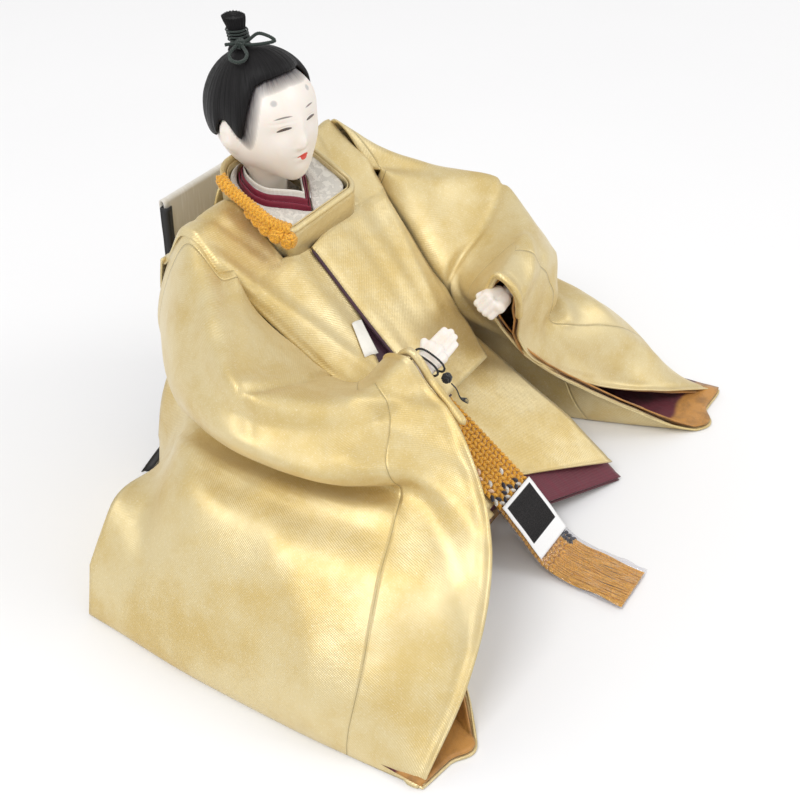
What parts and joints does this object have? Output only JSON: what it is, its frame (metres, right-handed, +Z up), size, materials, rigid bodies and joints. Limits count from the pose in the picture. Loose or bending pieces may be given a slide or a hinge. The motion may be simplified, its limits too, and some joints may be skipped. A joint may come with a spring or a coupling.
{
  "type": "hina doll",
  "caption": "Seated emperor hina doll in gold brocade with wide open sleeves, on a flat base board; the head turns and lifts out on its rod and the hands turn on their wrist rods.",
  "frame": {"origin": "on the floor, under the middle of the round collar, on the underside of the base board", "axes": "+X to the doll's left, -Y to its front, +Z up"},
  "size_m": [0.314, 0.255, 0.2256],
  "materials": {
    "gold_brocade": "woven gold thread with raised figures",
    "maroon_silk": "plain silk, soft sheen",
    "purple_silk": "plain dark silk",
    "white_silk": "white figured silk",
    "amber_silk": "amber silk",
    "black_silk": "black silk, matt",
    "orange_braid": "tight plaited braid",
    "green_cord": "dark green silk cord",
    "black_cord": "black silk cord",
    "face_lacquer": "polished shell-white over plaster",
    "hair": "combed black silk thread",
    "straw": "bound straw",
    "cotton": "loose cotton",
    "board_wood": "plain sawn board",
    "rod_wood": "plain round rod",
    "wire": "annealed wire",
    "paper": "plain paper, bare",
    "film": "clear thin film"
  },
  "bodies": {
    "root": {"arm_wire": "wire", "back_pouch": "gold_brocade", "base_board": "board_wood", "brocade_collar": "white_silk", "chest_padding": "cotton", "collar_cord": "orange_braid", "collar_knot": "orange_braid", "collar_lining": "gold_brocade", "collar_padding": "cotton", "dark_facing": "purple_silk", "film_sleeve": "film", "front_edge_strip": "maroon_silk", "label": "paper", "left_arm_padding": "cotton", "left_cuff": "gold_brocade", "left_knee_padding": "cotton", "left_sleeve": "gold_brocade", "left_sleeve_lining": "amber_silk", "maroon_collar_inner": "maroon_silk", "maroon_collar_outer": "maroon_silk", "right_arm_padding": "cotton", "right_cuff": "gold_brocade", "right_knee_padding": "cotton", "right_sleeve": "gold_brocade", "right_sleeve_lining": "amber_silk", "robe_back": "gold_brocade", "robe_collar": "gold_brocade", "robe_front_left": "gold_brocade", "robe_front_right": "gold_brocade", "sash": "orange_braid", "sash_fringe": "amber_silk", "skirt_band": "gold_brocade", "straw_body": "straw", "train_face": "white_silk", "train_lining": "black_silk", "tucked_paper": "paper", "under_robe": "maroon_silk", "under_robe_lining": "purple_silk", "white_collar": "white_silk"},
    "neck": {"neck_tube": "paper"},
    "head": {"head": "face_lacquer", "head_rod": "rod_wood", "hair_cap": "hair", "topknot": "hair", "topknot_cord": "green_cord", "bow_knot": "green_cord", "bow_loop_front": "green_cord", "bow_loop_side": "green_cord"},
    "right_hand": {"right_hand": "face_lacquer", "right_hand_rod": "wire", "hand_cord": "black_cord", "hand_cord_knot": "black_cord", "hand_cord_tail": "black_cord"},
    "left_hand": {"left_hand": "face_lacquer", "left_hand_rod": "wire"}
  },
  "joints": [
    {"name": "head_turn", "type": "hinge", "parent": "root", "child": "neck", "pos_m": [0, 0.0115, 0.115], "axis": [0, 0, 1], "range_deg": [-35, 35]},
    {"name": "head_lift", "type": "slide", "parent": "neck", "child": "head", "axis": [0, 0, 1], "range_m": [0, 0.05]},
    {"name": "right_hand_turn", "type": "hinge", "parent": "root", "child": "right_hand", "pos_m": [-0.052, -0.0975, 0.107], "axis": [0.9917, 0, 0.1289], "range_deg": [-25, 25]},
    {"name": "left_hand_turn", "type": "hinge", "parent": "root", "child": "left_hand", "pos_m": [0.052, -0.0975, 0.1045], "axis": [-0.9929, 0.1191, 0], "range_deg": [-25, 25]}
  ]
}
